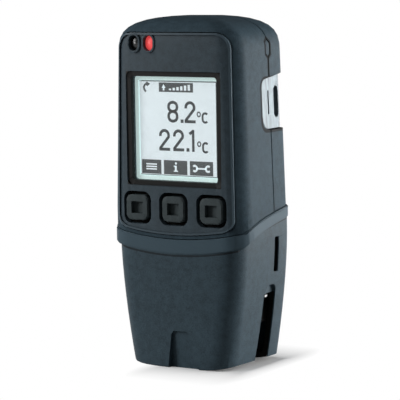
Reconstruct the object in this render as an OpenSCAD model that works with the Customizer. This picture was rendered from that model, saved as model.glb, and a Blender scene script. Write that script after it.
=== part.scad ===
// Handheld temperature data logger: a two-part housing with display, three keys and two
// lamps, over a connector block that a slotted pull-off cap covers and stands on.
// Millimetres. +X right, -Y front (display side), +Z up, origin under the middle of the cap.

/* [Overall] */
// Width of the display window
win_w = 36.2; // [35:0.2:37]
// Height of the display window
win_h = 37.6; // [36.6:0.2:38.6]
// Width of the housing on each side of the window
side_w = 10.1; // [9.8:0.1:10.6]
// Height from the window to the rounding of the crown
head_h = 7.4; // [7.2:0.1:8.2]
// Depth of the housing, front face to back face
body_d = 36.7; // [36.3:0.1:38]
// How much narrower the housing is just below its crown
top_taper = 3.6; // [3:0.2:4]
// How far the front face bows out in the middle
front_bow = 0.6; // [0.4:0.1:0.8]
// Radius of the housing's front upright edges
front_r = 8; // [7:0.5:8.5]
// Radius of the housing's rear upright edges
rear_r = 5.5; // [5:0.5:6.5]
// Height of the rounded crown
crown_h = 14; // [13:0.5:15]
// Wall of the two housing halves
wall = 2.2; // [2:0.1:2.4]

/* [Seam and collar] */
// Height of the seam between housing and cap, at the middle of the front
seam_z = 47.1; // [45:0.1:49]
// How much higher that seam is at the back
seam_rise = 10.6; // [9:0.2:11]
// How much higher it is at the side edges of the front
seam_side = 3.2; // [2.6:0.1:3.6]
// Open line between the housing and the cap
seam_gap = 0.3; // [0.2:0.05:0.4]
// Height of the collar at the middle of the front
collar_h = 5.4; // [4.5:0.2:6]
// How much the collar's lower edge rises to the back
collar_rise = 12; // [11.4:0.2:12.6]
// How far the collar stands out at the front corners
collar_out = 0.45; // [0.35:0.05:0.8]
// How far the collar stands out at the rear corners
collar_out_rear = 0.8; // [0.6:0.1:1.2]

/* [Cap] */
// How far the cap's front corners stand inside the housing's, each side
cap_front_in = 1.5; // [1.2:0.1:1.8]
// How much the front narrows down to the foot
cap_front_taper = 11.2; // [9:0.2:12]
// How much the back narrows down to the foot
cap_rear_taper = 10.6; // [8:0.2:11.2]
// How far the cap's front stands before the housing's
cap_front_out = 0.25; // [0.1:0.05:0.4]
// Wall of the cap
cap_wall = 2.4; // [2.2:0.1:2.6]
// Floor of the cap
cap_floor = 3.2; // [3:0.1:3.6]
// Running clearance between the cap and the connector block
cap_gap = 0.3; // [0.25:0.05:0.4]
// Width of the long air slot in each side
slot_w = 7.2; // [6:0.2:7.4]
// Distance of the long slot's top below the seam
slot_drop = 21; // [19.5:0.1:22.5]
// Place of the long air slot, front to back
slot_y = 5.3; // [4:0.1:6]
// Width of the short latch slot above it
latch_w = 2.8; // [2.2:0.2:3.2]
// Length of the short latch slot
latch_h = 13; // [11:0.5:14]
// Height of the finger notch in the front foot
notch_up = 13.8; // [12.6:0.2:14.2]
// Depth of the finger notch at the foot
notch_deep = 2.5; // [2:0.1:2.8]
// How much the foot's underside rises towards its sides
foot_rise = 1.5; // [1:0.1:1.8]

/* [Front panel] */
// How deep the front panel lies in the housing
panel_in = 0.3; // [0.2:0.1:0.4]
// Thickness of the front panel
panel_t = 2.4; // [2.2:0.1:2.6]
// Width of the housing left beside the front panel
panel_edge = 3.1; // [2.8:0.1:3.6]
// Radius of the front panel's upper corners
panel_r = 6; // [4.5:0.5:7]
// Width of the sunk border round the window
win_border = 1.95; // [1.6:0.05:2.2]
// Thickness of the window pane
pane_t = 1; // [0.8:0.1:1.2]
// Bar of the housing between the seam and the keys
key_up = 4.8; // [4.4:0.1:5.2]
// Bar of the panel between two keys
key_rib = 3.55; // [3.2:0.05:3.9]
// Bar of the panel beside the outer keys
key_side = 3.25; // [3:0.05:3.6]
// Open groove round a key
key_groove = 1.35; // [1.1:0.05:1.4]
// Travel of a key
key_travel = 0.8; // [0.5:0.05:0.9]
// Width of a lamp lens
lamp_w = 3.8; // [3.4:0.1:4.2]
// Height of a lamp lens
lamp_h = 5.4; // [5:0.1:5.8]

/* [Inside] */
// Distance of the parting plane behind the middle of the housing
part_y = 5.6; // [5:0.1:6]
// Thickness of the ring between the two housing halves
ring_t = 0.5; // [0.4:0.05:0.7]
// Thickness of the circuit board
board_t = 1.6; // [1.2:0.1:1.6]
// Diameter of a battery cell
cell_d = 10.4; // [10:0.1:10.5]
// Length of a battery cell with its nub
cell_l = 44.4; // [43.6:0.1:44.6]
// Length of the strap slot in the side brackets
strap_l = 11.4; // [10.6:0.2:12.4]
// Width of the strap slot
strap_w = 3.4; // [2.8:0.1:3.6]

/* [Hidden] */

over = 1;            // overrun of every cut
far = 60;            // reach of the planes that halve the housing
fit = 0.1;           // gap between pieces that are pushed together
seat = 0.05;         // gap between pieces that are seated on each other
front_n = 6;         // steps across the bowed front
corner_n = 5;        // steps round an upright edge
seam_n = 16;         // steps along the seam
level_shares = [0.25, 0.45, 0.6, 0.72, 0.82, 0.9, 0.95, 0.985];
cap_level_shares = [0, 0.13, 0.26, 0.39, 0.52, 0.65, 0.78, 0.9, 1];
crown_root_share = 0.4;
foot_r = 0.8;        // rounding of the cap's foot
cap_r_front = 8;     // front upright edges of the cap
cap_r_rear = 4.5;    // rear upright edges of the cap
taper_power_share = 1.6;
seam_power_share = 0.42;
seam_front = 3;      // the seam rises only behind this depth
rest_share = 0.38;   // part of the foot's half width that rests flat
foot_power_share = 1.7;

// overall sizes that follow the window, the keys and the battery
body_w = win_w + side_w * 2;
hd = body_d / 2;
hw = body_w / 2;
seam_top = seam_z + seam_rise;
panel_w = body_w - panel_edge * 2;
key_pitch = (panel_w + key_rib - key_side * 2) / 3;
key_open = key_pitch - key_rib;         // width of the opening round a key
key_z = seam_z + key_up + key_open / 2;
win_up = 3.9;                           // from the keys' openings to the window
win_low = key_z + key_open / 2 + win_up;
win_z = win_low + win_h / 2;
win_top = win_low + win_h;
door_low = 5.35;                        // door below the battery opening
door_high = 2.75;                       // door above it
door_up = 2.4;                          // door above the seam
bay_over = 1.3;                         // opening longer than a cell
bay_head = 1.5;                         // crown above the battery opening
door_foot = seam_top + door_up;
bay_h = cell_l + bay_over;
bay_z = door_foot + door_low + bay_h / 2;
crown_z = max(win_top + head_h, bay_z + bay_h / 2 + bay_head);
total_h = crown_z + crown_h;

// front to back layers of the display
panel_y = -hd + panel_in;               // front face of the panel in the middle
sunk = 1.2;                             // depth of the window's border
border_y = panel_y + sunk;
border_r = 2.4;
pane_r = 1.15;
glass_r = 0.3;
pane_in = 0.25;                         // pane behind the panel's back face
pane_y = panel_y + panel_t + pane_in;   // front face of the pane
frame_y = pane_y + pane_t + fit;
frame_t = 2.4;
frame_rim = 1.5;
glass_set = 0.3;                        // display glass behind the frame's front
glass_gap = 0.3;
light_y = frame_y + frame_t + fit;
light_t = 2.3;
board_y = light_y + light_t + fit;
shelf_in = panel_in + panel_t + seat;   // the housing's face behind the panel
shelf_t = 1.65;
front_wall = shelf_in + shelf_t;        // inner face of that wall, from the front
inner_y = -hd + front_wall;

// places up the front
panel_top_share = 0.62;
lamp_up_share = 0.33;                   // lamps' place up the crown
lamp_side = 12.4;
lamp_z = crown_z + crown_h * lamp_up_share;
lamp_x = -panel_w / 2 + lamp_side;      // middle of the two lamps
lamp_pitch = 6.3;
lamp_in = 0.9;
rim_w = 0.7;                            // raised rim round each lamp
rim_out = 0.25;
panel_top = crown_z + crown_h * panel_top_share;
panel_foot_up = 1.4;
panel_foot = seam_z + panel_foot_up;
panel_foot_r = 4;
panel_side_taper = 1.1;
panel_gap = 0.3;                        // groove between the panel and the housing
lip_w = 0.8;                            // raised lip along the panel's edge
lip_up = 0.7;

// keys
key_less = 0.3;                         // openings and keys less high than wide
key_size = key_open - key_groove * 2;
key_high = key_size - key_less;
key_proud = 0.3;
key_edge = 0.35;                        // step round a key's front face
key_r = 2.3;
key_open_r = 3.2;
dimple_share = 0.52;
dimple_high_share = 0.46;
dimple_deep = 2;
mat_side = 1.5;                         // rubber beyond the keys' openings
mat_up = 1.3;
mat_r = 2;
mat_back = inner_y + 0.15;
flange_t = 0.8;
flange_y = mat_back + fit;
flange_w = key_open - 0.2;
flange_h = key_open - 0.6;
switch_share = 0.5;
switch_cap_t = 0.5;

// housing screws
boss_r = 2.6;
boss_gap = 0.4;                         // between a boss and the display
screw_x = win_w / 2 + boss_r + boss_gap;
screw_low = win_low + 3;
screw_high = crown_z - 2;
screw_r = 1.1;
screw_head_r = 2;
screw_head_t = 1.6;
screw_deep = 3;                         // head below the back face
cross_w = 0.5;                          // cross slot of every screw
post_gap = 0.7;
post_z = win_z - 1.8;
post_x = win_w / 2 + boss_r / 2 + post_gap;

// strap notch, in the side view
notch_drop = 18;
notch_z = crown_z - notch_drop;
notch_h = 18.6;
notch_y = 0.1;
notch_r_top = 3;
notch_r_foot = 5;
notch_lift = 2.2;                       // the notch's top rises to the back
notch_in = 5.2;                         // depth of the notch in the side
bracket_in = 1.1;                       // bracket below the housing's surface
bracket_gap = 0.4;
strap_back = 6.5;
strap_y = hd - strap_back;
strap_up = 0.6;
slit_w = 0.8;                           // slit in line with the parting plane
slit_l = 8.6;
slit_y = part_y + 0.7;
slit_deep = 1.4;

// seam plug
plug_w = 3.4;
plug_h = 7.2;
plug_z = crown_z + 2.2;
plug_deep = 3.4;
plug_in = 0.12;
plug_gap = 0.3;                         // groove round the plug

// battery tray
cell_side = 0.25;
cell_back = 10.15;
cell_x = cell_d / 2 + cell_side;
cell_y = hd - cell_back;
tray_wall = 1.6;
tray_w = (cell_d + cell_side * 2) * 2 + tray_wall * 2;
tray_room = cell_l + 1.8;
tray_floor_y = cell_y - cell_d / 2 - 0.4;
tray_top_y = tray_floor_y + cell_d / 2;
nub_r = 1.9;
nub_h = 0.8;
plate_t = 0.3;
plate_share = 0.7;
spring_share = 0.32;
chip_t = 1.2;
chip_shares = [[0, -0.31, 0.86, 0.86, 1], [-0.48, 0.09, 0.58, 0.48, 0.83], [0.48, 0.16, 0.38, 0.58, 0.75],
    [0.38, -0.07, 0.29, 0.15, 0.58], [-0.58, -0.13, 0.19, 0.29, 0.58]];

// back of the housing
bay_edge = 0.7;
bay_w = tray_w + bay_edge * 2;
door_edge = 2.1;
door_w = bay_w + door_edge * 2;
door_h = door_low + bay_h + door_high;
door_t = 1.6;
door_r = 3;
seal_t = 0.4;
seal_edge = 0.3;
seal_w = 1.2;
door_gap = 0.2;
door_z = door_foot + door_h / 2;
sill_t = 2;
tongue_w = 6;
tongue_t = 0.8;
tongue_l = 1.5;
door_screw_side = 6.3;
door_screw_x = door_w / 2 - door_screw_side;
door_screw_up = 2.3;
door_screw_r = 0.8;
door_head_r = 1.5;
door_head_t = 0.75;
rib_r = 0.4;                            // grip grooves of the door
rib_pitch = 1.5;
rib_drop = 4;
label_side = 3.3;
label_end = 9.9;
label_w = door_w - label_side * 2;
label_h = door_h - label_end * 2;
label_t = 0.25;

// circuit board
board_edge = 0.4;
board_drop = 1.4;
board_up = 6.4;
board_r = 3;
board_foot = key_z - board_drop;
board_top = crown_z + board_up;
board_w = (screw_x + board_edge) * 2;
led_w = 1.6;
led_h = 3;
led_t = 1.3;
sounder_r = 5.6;
sounder_gap = 1.9;
sounder_x = screw_x - boss_r - sounder_r - sounder_gap;
sounder_t = 2.6;
sounder_up = 0.6;

// connector block
block_z = 15;
block_in = cap_wall + cap_gap;
block_wall = 2.4;
block_floor = 3;
lip_h = 3.2;
lip_in = wall + fit;
hollow_in = 6.35;
hollow_r = 1;
usb_w = 12;
usb_t = 4.5;
usb_wall = 0.4;
usb_x = -6;
usb_out = 11.1;
usb_in = 9;
usb_hole_w = 2.4;
usb_hole_h = 2;
usb_hole_share = 0.19;
usb_hole_up_share = 0.55;
usb_tongue_t = 1.7;
usb_tongue_in = 0.5;
socket_x = 11;
socket_r = 3;
socket_hole_r = 1.8;
socket_l = 11;
socket_out = 1;
socket_rim_share = 1.3;
slot_top = seam_z - slot_drop;
sensor_y = 8.4;
sensor_z = slot_top - 1.4;
sensor_r = 1.2;
sensor_l = 9;
channel_w = 10;
channel_deep = 1.3;
grip_w = 8;
grip_h = 5;
grip_t = 1;
grip_z = 30;
grip_clear = 0.1;

// cap
collar_edge = 0.35;                     // chamfer along both edges of the collar
slot_lean = 1.1;                        // a slot's front edge runs forward towards the foot
recess_w = slot_w * 0.84;               // shallow recess over a slot's top
recess_in = 0.8;
recess_up = 3.1;
recess_r = 2;
latch_back = 2.8;                       // latch slot behind the long slot
latch_down = 0.4;
latch_r = 0.7;
finger_w = 8;                           // finger notch, across its top
finger_x = 2.5;
finger_lean = 1.6;
finger_lean_right = 4;
finger_r = 1.8;
finger_top_deep = 0.9;
finger_back = 1.3;                      // thicker wall behind the notch

function mix(a, b, t) = a + (b - a) * t;

// rounded outline, bowed at the front; corners counted anticlockwise from the front left
function outline(wf, wr, df, dr, bow, rf, rr) =
    let (xf = wf - rf, yf = -df + bow + rf, xr = wr - rr, yr = dr - rr)
    concat(
        [for (i = [0:front_n]) let (s = 2 * i / front_n - 1) [xf * s, -df + bow * s * s]],
        [for (i = [1:corner_n]) let (a = -90 + 90 * i / corner_n)
            [xf + rf * cos(a), yf + rf * sin(a)]],
        [for (i = [0:corner_n]) let (a = 90 * i / corner_n)
            [xr + rr * cos(a), yr + rr * sin(a)]],
        [for (i = [0:corner_n]) let (a = 90 + 90 * i / corner_n)
            [-xr + rr * cos(a), yr + rr * sin(a)]],
        [for (i = [0:corner_n - 1]) let (a = 180 + 90 * i / corner_n)
            [-xf + rf * cos(a), yf + rf * sin(a)]]);

// solid through a stack of [z, outline]
module loft(levels) {
    n = len(levels[0][1]);
    m = len(levels);
    polyhedron(
        points = [for (l = levels) for (p = l[1]) [p[0], p[1], l[0]]],
        faces = concat(
            [[for (i = [0:n - 1]) i]],
            [[for (i = [n - 1:-1:0]) (m - 1) * n + i]],
            [for (k = [0:m - 2]) for (i = [0:n - 1]) let (j = (i + 1) % n)
                [k * n + i, (k + 1) * n + i, (k + 1) * n + j]],
            [for (k = [0:m - 2]) for (i = [0:n - 1]) let (j = (i + 1) % n)
                [k * n + i, (k + 1) * n + j, k * n + j]]),
        convexity = 6);
}

function body_half_w(z) = z <= seam_top ? hw
    : hw - top_taper / 2 * (z - seam_top) / (crown_z - seam_top);

function body_outline(z, kx, ky, in, front_in) =
    let (w = (body_half_w(min(z, crown_z)) - in) * kx, k = min(kx, ky))
    outline(w, w, (hd - front_in) * ky, (hd - in) * ky, front_bow * ky,
        (front_r - in) * k, (rear_r - in) * k);

// the housing's outer shape, drawn in by in at the sides, back and top
module housing(in = 0, front_in = 0) {
    foot = seam_z - wall * 3;
    rise = total_h - in - crown_z;
    last = level_shares[len(level_shares) - 1];
    loft(concat(
        [for (z = [foot, seam_top, crown_z]) [z, body_outline(z, 1, 1, in, front_in)]],
        [for (f = level_shares) [crown_z + rise * f / last,
            body_outline(crown_z, pow(1 - pow(f, 3), crown_root_share),
                pow(1 - pow(f, 6), crown_root_share), in, front_in)]]));
}

function cap_drop(z) = pow(max(0, 1 - z / seam_z), taper_power_share);

function cap_outline(z, in, rr = cap_r_rear) = outline(
    hw - cap_front_in - cap_front_taper / 2 * cap_drop(z) - in,
    hw - cap_rear_taper / 2 * cap_drop(z) - in,
    hd + cap_front_out - in, hd - in, front_bow, cap_r_front - in, rr - in);

// the cap's outer shape, drawn in by in; a foot above zero has a sharp edge
module cap_form(in = 0, foot = 0, rr = cap_r_rear) {
    lows = foot > 0 ? [] : [[0, cap_outline(0, in + foot_r)],
        [foot_r / 3, cap_outline(0, in + foot_r / 3)]];
    start = foot > 0 ? foot : foot_r;
    loft(concat(lows,
        [for (s = cap_level_shares) let (z = mix(start, seam_z, s)) [z, cap_outline(z, in, rr)]],
        [[seam_top + lip_h * 2, cap_outline(seam_top, in, rr)]]));
}

module collar_form(out, out_rear, in = 0) {
    shape = outline(hw + out - in, hw + out_rear - in, hd + out, hd + out,
        front_bow, front_r + out, rear_r + out);
    loft([[seam_z - collar_h * 2, shape], [seam_top + over, shape]]);
}

// everything below a seam line that rises to the sides of the front and to the back
module below_seam(z, rise, up = 0) {
    y0 = -hd + seam_front;
    low = z + up;
    rotate([90, 0, 90]) linear_extrude(far * 2, center = true) polygon(concat(
        [[far, -far], [-far, -far], [-far, low], [y0, low]],
        [for (i = [1:seam_n]) let (t = pow(i / seam_n, 2))
            [mix(y0, hd, t), low + rise * pow(t, seam_power_share)]],
        [[far, low + rise]]));
    rotate([90, 0, 0]) linear_extrude(far * 2, center = true) polygon(concat(
        [[far, -far], [-far, -far], [-far, low + seam_side]],
        [for (i = [-seam_n / 2:seam_n / 2]) let (s = 2 * i / seam_n) [hw * s, low + seam_side * s * s]],
        [[far, low + seam_side]]));
}

module front_half(y) { translate([-far, -far, -far]) cube([far * 2, far + y, far * 4]); }
module rear_half(y) { translate([-far, y, -far]) cube([far * 2, far, far * 4]); }

// plate across the front: drawn in the front view, from depth y0 to y1
module front_plate(y0, y1) {
    translate([0, y1, 0]) rotate([90, 0, 0]) linear_extrude(y1 - y0) children();
}
// plate across the side: drawn in the side view (y, z), from x0 to x1
module side_plate(x0, x1) {
    translate([x0, 0, 0]) rotate([90, 0, 90]) linear_extrude(x1 - x0) children();
}

module rounded(w, h, r) {
    union() {
        square([w - 2 * r, h], center = true);
        square([w, h - 2 * r], center = true);
        for (x = [-1, 1], y = [-1, 1]) translate([x * (w / 2 - r), y * (h / 2 - r)])
            circle(r, $fn = 32);
    }
}

module stadium(w, h) {
    union() {
        square([w, h - w], center = true);
        for (y = [-1, 1]) translate([0, y * (h - w) / 2]) circle(w / 2, $fn = 32);
    }
}

// outline of the front panel, in by in, its foot following the seam
module panel_shape(in = 0) {
    top_w = panel_w / 2 - panel_side_taper - in;
    low_w = panel_w / 2 - in;
    r = panel_r - in;
    rl = panel_foot_r;
    foot_x = low_w - rl;
    corner_z = panel_foot + in + seam_side * pow(foot_x / hw, 2) + rl * 1.1;
    polygon(concat(
        [for (i = [-6:6]) let (x = foot_x * i / 6) [x, panel_foot + in + seam_side * pow(x / hw, 2)]],
        [for (i = [0:4]) let (a = -68 + 17 * i) [foot_x + rl * cos(a), corner_z + rl * sin(a)]],
        [for (i = [0:6]) let (a = 15 * i)
            [top_w - r + r * cos(a), panel_top - in - r + r * sin(a)]],
        [for (i = [0:6]) let (a = 90 + 15 * i)
            [-top_w + r + r * cos(a), panel_top - in - r + r * sin(a)]],
        [for (i = [0:4]) let (a = 180 + 17 * i) [-foot_x + rl * cos(a), corner_z + rl * sin(a)]]));
}

// strap notch in the side view, in by in
module notch_shape(in = 0) {
    y0 = notch_y + in;
    z0 = notch_z - notch_h / 2 + in;
    z1 = notch_z + notch_h / 2 - in;
    rt = notch_r_top;
    rf = notch_r_foot;
    polygon(concat(
        [[hd + over, z0]],
        [for (i = [0:4]) let (a = 270 - 22.5 * i) [y0 + rf + rf * cos(a), z0 + rf + rf * sin(a)]],
        [for (i = [0:4]) let (a = 180 - 22.5 * i) [y0 + rt + rt * cos(a), z1 - rt + rt * sin(a)]],
        [[hd + over, z1 + notch_lift]]));
}

module both_sides() { children(); mirror([1, 0, 0]) children(); }

module notch_cut() {
    both_sides() side_plate(hw - top_taper / 4 - notch_in, hw + over) notch_shape();
}

module plug_shape(in = 0) {
    w = plug_w / 2 - in;
    h = plug_h / 2 - in;
    translate([part_y, plug_z]) polygon([[0, -h], [w, -h * 0.6], [w, h * 0.6], [0, h],
        [-w, h * 0.6], [-w, -h * 0.6]]);
}

module plug_cut() { side_plate(hw - plug_deep - top_taper / 2, hw + over) plug_shape(); }

module screw_places() {
    for (x = [-screw_x, screw_x], z = [screw_low, screw_high]) translate([x, 0, z])
        rotate([-90, 0, 0]) children();
}
module post_places() {
    for (x = [-post_x, post_x]) translate([x, 0, post_z]) rotate([-90, 0, 0]) children();
}
module lamp_places() {
    for (s = [-1, 1]) translate([lamp_x + s * lamp_pitch / 2, lamp_z]) children();
}
module mat_shape(in = 0) {
    rounded(key_pitch * 2 + key_open + (mat_side - in) * 2, key_open + (mat_up - in) * 2, mat_r - in);
}
module key_places() { for (k = [-1, 0, 1]) translate([k * key_pitch, key_z]) children(); }

// Housing

module front_shell() {
    color([0.20, 0.22, 0.23]) difference() {
        union() {
            difference() {
                intersection() { housing(); front_half(part_y - ring_t / 2); }
                below_seam(seam_z, seam_rise, seam_gap);
                housing(wall, front_wall);
            }
            screw_places() translate([0, 0, inner_y - wall / 2])
                cylinder(r = boss_r, h = part_y - ring_t / 2 - inner_y + wall / 2, $fn = 32);
            post_places() translate([0, 0, inner_y - wall / 2])
                cylinder(r = boss_r / 2, h = board_y - seat - inner_y + wall / 2, $fn = 32);
        }
        difference() {
            front_plate(-hd - over, part_y) panel_shape();
            housing(shelf_in, shelf_in);
        }
        front_plate(-hd - over, inner_y + over) {
            translate([0, win_z]) rounded(win_w + fit * 2, win_h + fit * 2, pane_r + fit);
            translate([0, key_z]) mat_shape();
        }
        front_plate(-hd - over, board_y) lamp_places() stadium(lamp_w + fit * 4, lamp_h + fit * 4);
        screw_places() translate([0, 0, -screw_r * 6])
            cylinder(r = screw_r, h = far, $fn = 32);
        post_places() translate([0, 0, inner_y + seat])
            cylinder(r = screw_r / 2, h = far, $fn = 32);
        notch_cut();
        plug_cut();
    }
}

module rear_shell() {
    color([0.22, 0.24, 0.25]) difference() {
        union() {
            difference() {
                intersection() { housing(); rear_half(part_y + ring_t / 2); }
                below_seam(seam_z, seam_rise, seam_gap);
                housing(wall, front_wall);
            }
            // sill round the battery opening
            translate([-door_w / 2 - wall, hd - door_t - seal_t - sill_t, door_foot - wall / 2])
                cube([door_w + wall * 2, sill_t + wall / 2, door_h + wall * 1.3]);
            // floors of the strap notches
            both_sides() translate([hw - top_taper / 4 - notch_in - wall / 2, part_y + ring_t / 2,
                notch_z - notch_h / 2 - wall]) cube([wall / 2, hd - part_y - ring_t - wall / 2,
                notch_h + wall * 3]);
            screw_places() translate([0, 0, part_y + ring_t / 2])
                cylinder(r = boss_r, h = hd - wall / 2 - part_y - ring_t / 2, $fn = 32);
        }
        translate([0, 0, bay_z]) rotate([-90, 0, 0]) translate([0, 0, part_y])
            linear_extrude(far) rounded(bay_w, bay_h, 1);
        translate([0, 0, door_z]) rotate([-90, 0, 0])
            translate([0, 0, hd - door_t - seal_t])
            linear_extrude(far) rounded(door_w + door_gap * 2, door_h + door_gap * 2, door_r);
        for (s = [-1, 1]) translate([s * bay_w / 4 - tongue_w / 2 - door_gap,
            hd - door_t - seat, door_foot + door_h - seat])
            cube([tongue_w + door_gap * 2, tongue_t + seat * 2, tongue_l + door_gap * 2]);
        for (s = [-1, 1]) translate([s * door_screw_x, 0, door_foot + door_screw_up])
            rotate([-90, 0, 0]) cylinder(r = door_screw_r, h = far, $fn = 32);
        screw_places() cylinder(r = screw_r + fit, h = far, $fn = 32);
        screw_places() translate([0, 0, hd - screw_deep - screw_head_t])
            cylinder(r = screw_head_r + fit, h = far, $fn = 32);
        notch_cut();
        plug_cut();
    }
}

module seam_ring() {
    color([0.06, 0.06, 0.07]) difference() {
        intersection() {
            housing(ring_t, ring_t);
            translate([-far, part_y - ring_t / 2 + seat / 2, 0])
                cube([far * 2, ring_t - seat, far * 3]);
        }
        housing(wall - seat, front_wall);
        below_seam(seam_z, seam_rise, seam_gap);
        notch_cut();
        plug_cut();
    }
}

module seam_plug() {
    color([0.30, 0.32, 0.33]) intersection() {
        housing(plug_in, plug_in);
        side_plate(hw - plug_deep - top_taper / 2 + fit, hw + over) plug_shape(plug_gap);
    }
}

module strap_bracket(side) {
    color([0.86, 0.88, 0.90]) mirror([side < 0 ? 1 : 0, 0, 0]) difference() {
        intersection() {
            housing(bracket_in, bracket_in);
            side_plate(hw - top_taper / 4 - notch_in + fit, hw + over) notch_shape(bracket_gap);
        }
        side_plate(0, hw + over) translate([strap_y, notch_z + strap_up]) stadium(strap_w, strap_l);
        translate([0, strap_y, notch_z + strap_up - strap_l / 2])
            cube([hw - top_taper / 4 - notch_in + strap_w / 2, hd, strap_l]);
        side_plate(hw - top_taper / 4 - bracket_in - slit_deep, hw + over)
            translate([slit_y, notch_z + strap_up]) square([slit_w, slit_l], center = true);
    }
}
module strap_bracket_right() { strap_bracket(1); }
module strap_bracket_left() { strap_bracket(-1); }

// Front panel, display and keys

module front_panel() {
    color([0.22, 0.23, 0.25]) difference() {
        union() {
            intersection() {
                difference() {
                    housing(panel_in, panel_in);
                    housing(panel_in + panel_t, panel_in + panel_t);
                }
                front_plate(-hd - over, inner_y + panel_r) panel_shape(panel_gap);
            }
            intersection() {
                difference() {
                    housing(panel_in - lip_up, panel_in - lip_up);
                    housing(panel_in + seat, panel_in + seat);
                }
                front_plate(-hd - over * 2, inner_y + panel_r) difference() {
                    panel_shape(panel_gap);
                    panel_shape(panel_gap + lip_w);
                }
            }
            front_plate(panel_y - rim_out, panel_y + panel_t - seat) lamp_places()
                stadium(lamp_w + (fit + rim_w) * 2, lamp_h + (fit + rim_w) * 2);
        }
        front_plate(-hd - over, border_y) translate([0, win_z])
            rounded(win_w + win_border * 2, win_h + win_border * 2, border_r);
        front_plate(-hd - over, part_y) {
            translate([0, win_z]) rounded(win_w + fit, win_h + fit, pane_r);
            key_places() rounded(key_open, key_open - key_less, key_open_r);
            lamp_places() stadium(lamp_w + fit * 2, lamp_h + fit * 2);
        }
    }
}

module window_pane() {
    color([0.80, 0.88, 0.87, 0.4]) front_plate(pane_y, pane_y + pane_t)
        translate([0, win_z]) rounded(win_w, win_h, pane_r);
}

module display_frame() {
    color([0.82, 0.86, 0.86]) front_plate(frame_y, frame_y + frame_t) difference() {
        translate([0, win_z]) rounded(win_w, win_h, pane_r);
        translate([0, win_z]) rounded(win_w - frame_rim * 2, win_h - frame_rim * 2, glass_r + fit);
    }
}

module display_panel() {
    color([0.84, 0.89, 0.92]) front_plate(frame_y + glass_set, frame_y + frame_t)
        translate([0, win_z]) rounded(win_w - frame_rim * 2 - glass_gap * 2,
            win_h - frame_rim * 2 - glass_gap * 2, glass_r);
}

module backlight() {
    color([0.95, 0.96, 0.97]) front_plate(light_y, light_y + light_t)
        translate([0, win_z]) rounded(win_w - frame_rim, win_h - frame_rim, pane_r);
}

module key(k) {
    front = -hd + panel_in - key_proud + front_bow * pow(k * key_pitch / (hw - front_r), 2);
    color([0.23, 0.24, 0.25]) translate([k * key_pitch, 0, key_z]) difference() {
        union() {
            front_plate(front + key_edge, flange_y + seat) rounded(key_size, key_high, key_r);
            front_plate(front, front + key_edge + seat)
                rounded(key_size - key_edge * 2, key_high - key_edge * 2, key_r - key_edge);
            front_plate(flange_y, flange_y + flange_t) rounded(flange_w, flange_h, 1);
        }
        front_plate(front - over, front + dimple_deep)
            square([key_size * dimple_share, key_size * dimple_high_share], center = true);
    }
}
module key_left() { key(-1); }
module key_middle() { key(0); }
module key_right() { key(1); }

module key_mat() {
    color([0.04, 0.04, 0.05]) difference() {
        intersection() {
            housing(shelf_in, shelf_in);
            front_plate(-hd, mat_back) translate([0, key_z])
                mat_shape(fit);
        }
        front_plate(-hd - over, part_y) key_places()
            rounded(key_size + fit * 4, key_high + fit * 4, key_r + fit * 2);
    }
}

module key_switches() {
    color([0.15, 0.15, 0.16]) for (k = [-1, 0, 1]) translate([k * key_pitch, 0, key_z]) {
        top = flange_y + flange_t + key_travel + fit;
        w = key_open * switch_share;
        front_plate(top + switch_cap_t, board_y - seat / 2) square(w, center = true);
        front_plate(top, top + switch_cap_t + seat) circle(w / 4, $fn = 32);
    }
}

module lamp(s) {
    front = panel_y + lamp_in;
    color(s < 0 ? [0.05, 0.06, 0.06] : [0.95, 0.25, 0.22])
        translate([lamp_x + s * lamp_pitch / 2, 0, lamp_z]) intersection() {
            front_plate(front, board_y - led_t - fit * 2) stadium(lamp_w, lamp_h);
            translate([0, front + lamp_h, 0]) rotate([90, 0, 0]) union() {
                sphere(lamp_h, $fn = 64);
                translate([0, 0, -far]) cylinder(r = lamp_h, h = far, $fn = 64);
            }
        }
}
module lamp_left() { lamp(-1); }
module lamp_right() { lamp(1); }

module led_chips() {
    color([0.95, 0.93, 0.80]) for (s = [-1, 1])
        translate([lamp_x + s * lamp_pitch / 2, 0, lamp_z])
            front_plate(board_y - led_t, board_y - seat / 2) square([led_w, led_h], center = true);
}

module sounder() {
    color([0.70, 0.58, 0.25]) translate([sounder_x, board_y - seat, crown_z + sounder_up])
        rotate([90, 0, 0]) cylinder(r = sounder_r, h = sounder_t, $fn = 48);
}

// Board and battery

module circuit_board() {
    color([0.05, 0.30, 0.18]) front_plate(board_y, board_y + board_t) difference() {
        translate([0, mix(board_foot, board_top, 0.5)]) rounded(board_w, board_top - board_foot, board_r);
        for (x = [-screw_x, screw_x], z = [screw_low, screw_high]) translate([x, z])
            circle(boss_r + fit * 3, $fn = 32);
        for (x = [-post_x, post_x]) translate([x, post_z]) circle(screw_r / 2 + fit, $fn = 32);
    }
}

module board_chips() {
    back = board_y + board_t + seat / 2;
    color([0.08, 0.08, 0.09]) for (c = chip_shares)
        front_plate(back, back + chip_t * c[4]) translate([cell_d * c[0], bay_z + cell_l * c[1]])
            square([cell_d * c[2], cell_d * c[3]], center = true);
}

module battery_tray() {
    color([0.12, 0.12, 0.13]) difference() {
        translate([-tray_w / 2, board_y + board_t + fit, bay_z - tray_room / 2 - tray_wall])
            cube([tray_w, tray_top_y - board_y - board_t - fit, tray_room + tray_wall * 2]);
        translate([-tray_w / 2 + tray_wall, board_y, bay_z - tray_room / 2])
            cube([tray_w - tray_wall * 2, tray_floor_y - tray_wall - board_y, tray_room]);
        translate([-tray_w / 2 + tray_wall, tray_floor_y, bay_z - tray_room / 2])
            cube([tray_w - tray_wall * 2, far, tray_room]);
    }
}

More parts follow.
